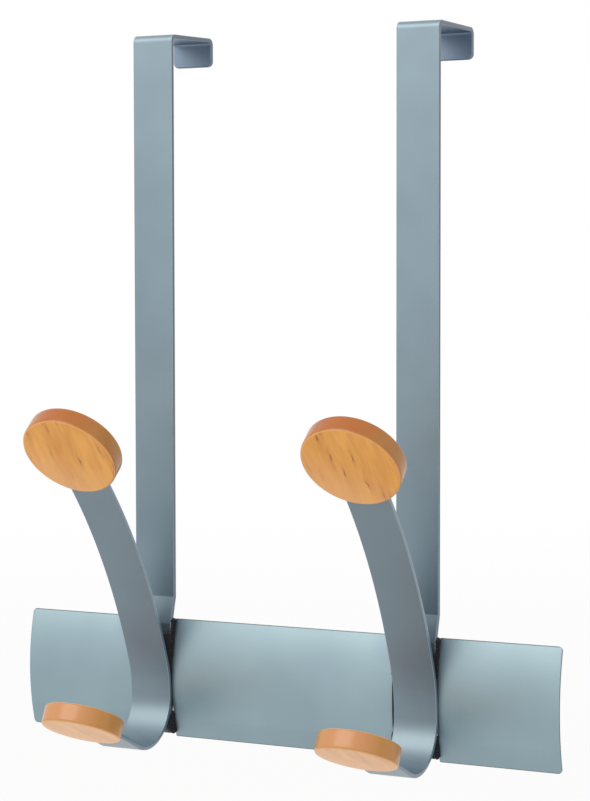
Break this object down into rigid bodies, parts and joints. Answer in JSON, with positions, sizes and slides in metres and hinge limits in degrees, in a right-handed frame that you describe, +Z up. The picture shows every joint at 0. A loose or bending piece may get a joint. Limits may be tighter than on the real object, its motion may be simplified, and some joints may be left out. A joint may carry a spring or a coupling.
{
  "type": "over door hook",
  "caption": "Steel over-door rack: flat straps with lips for a door's top edge, curved panels and double coat hooks that end in slotted wooden discs.",
  "frame": {"origin": "midway between the straps, on the line where the door's front face meets its top edge", "axes": "+Z up, +Y from the rack into the door, +X to the right as seen from in front of the door"},
  "size_m": [0.262, 0.1262, 0.3205],
  "materials": {
    "strap_steel": "belt-ground and clear lacquered flat steel",
    "hook_steel": "belt-ground and clear lacquered flat steel, bent",
    "panel_steel": "belt-ground and clear lacquered sheet steel, rolled",
    "disc_wood": "clear lacquered beech",
    "weld_metal": "dark weld metal"
  },
  "bodies": {
    "root": {"strap_left": "strap_steel", "hook_left": "hook_steel", "panel_left": "panel_steel", "disc_upper_left": "disc_wood", "disc_lower_left": "disc_wood", "weld_beads_left": "weld_metal", "strap_right": "strap_steel", "hook_right": "hook_steel", "panel_right": "panel_steel", "disc_upper_right": "disc_wood", "disc_lower_right": "disc_wood", "weld_beads_right": "weld_metal", "panel_centre": "panel_steel"}
  },
  "joints": []
}
